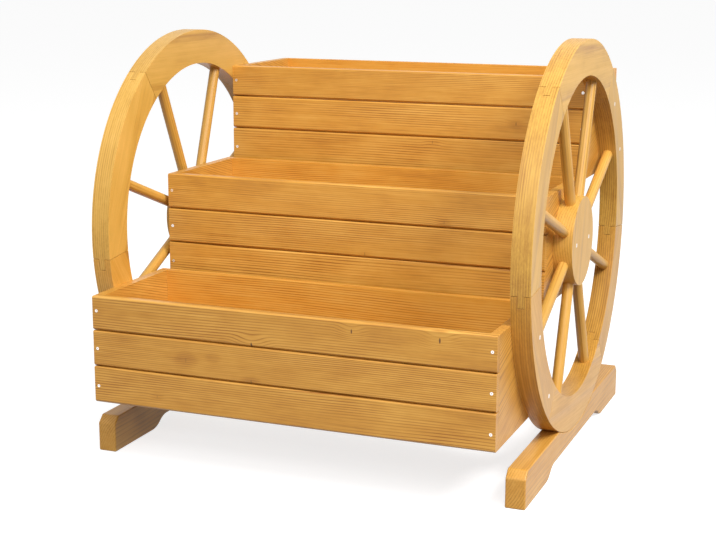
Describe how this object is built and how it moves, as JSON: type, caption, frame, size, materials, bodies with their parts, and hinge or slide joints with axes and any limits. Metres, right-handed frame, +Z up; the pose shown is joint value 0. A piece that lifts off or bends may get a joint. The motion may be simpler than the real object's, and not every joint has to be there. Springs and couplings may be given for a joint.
{
  "type": "flower cart stand",
  "caption": "Wooden three-tier planter stand: stepped slatted boxes held between two wagon wheels on arched feet, for pots or soil.",
  "frame": {"origin": "on the floor, midway between the two wheels and midway between the front of the lower box and the back of the upper box", "axes": "+X towards the right wheel as seen from the front, +Y towards the back (the upper box), +Z up"},
  "size_m": [0.6, 0.609, 0.5565],
  "materials": {
    "front_boards": "satin",
    "back_boards": "satin",
    "side_panels": "satin",
    "floor_boards": "matte",
    "felloes": "satin",
    "spokes": "satin",
    "hubs": "satin",
    "feet": "satin",
    "screws": "satin"
  },
  "bodies": {
    "root": {"board_screws": "screws", "foot_screws": "screws", "left_wheel_felloe_bottom": "felloes", "left_wheel_felloe_lower_back": "felloes", "left_wheel_felloe_lower_front": "felloes", "left_wheel_felloe_top": "felloes", "left_wheel_felloe_upper_back": "felloes", "left_wheel_felloe_upper_front": "felloes", "left_wheel_foot": "feet", "left_wheel_hub": "hubs", "left_wheel_spoke_1": "spokes", "left_wheel_spoke_2": "spokes", "left_wheel_spoke_3": "spokes", "left_wheel_spoke_4": "spokes", "left_wheel_spoke_5": "spokes", "left_wheel_spoke_6": "spokes", "left_wheel_spoke_7": "spokes", "left_wheel_spoke_8": "spokes", "lower_box_back_boards": "back_boards", "lower_box_cleats": "floor_boards", "lower_box_floor_slats": "floor_boards", "lower_box_front_board_bottom": "front_boards", "lower_box_front_board_middle": "front_boards", "lower_box_front_board_top": "front_boards", "lower_box_side_panel_left": "side_panels", "lower_box_side_panel_right": "side_panels", "middle_box_back_boards": "back_boards", "middle_box_cleats": "floor_boards", "middle_box_floor_slats": "floor_boards", "middle_box_front_board_bottom": "front_boards", "middle_box_front_board_middle": "front_boards", "middle_box_front_board_top": "front_boards", "middle_box_side_panel_left": "side_panels", "middle_box_side_panel_right": "side_panels", "right_wheel_felloe_bottom": "felloes", "right_wheel_felloe_lower_back": "felloes", "right_wheel_felloe_lower_front": "felloes", "right_wheel_felloe_top": "felloes", "right_wheel_felloe_upper_back": "felloes", "right_wheel_felloe_upper_front": "felloes", "right_wheel_foot": "feet", "right_wheel_hub": "hubs", "right_wheel_spoke_1": "spokes", "right_wheel_spoke_2": "spokes", "right_wheel_spoke_3": "spokes", "right_wheel_spoke_4": "spokes", "right_wheel_spoke_5": "spokes", "right_wheel_spoke_6": "spokes", "right_wheel_spoke_7": "spokes", "right_wheel_spoke_8": "spokes", "upper_box_back_boards": "back_boards", "upper_box_cleats": "floor_boards", "upper_box_floor_slats": "floor_boards", "upper_box_front_board_bottom": "front_boards", "upper_box_front_board_middle": "front_boards", "upper_box_front_board_top": "front_boards", "upper_box_side_panel_left": "side_panels", "upper_box_side_panel_right": "side_panels", "wheel_screws": "screws"}
  },
  "joints": []
}
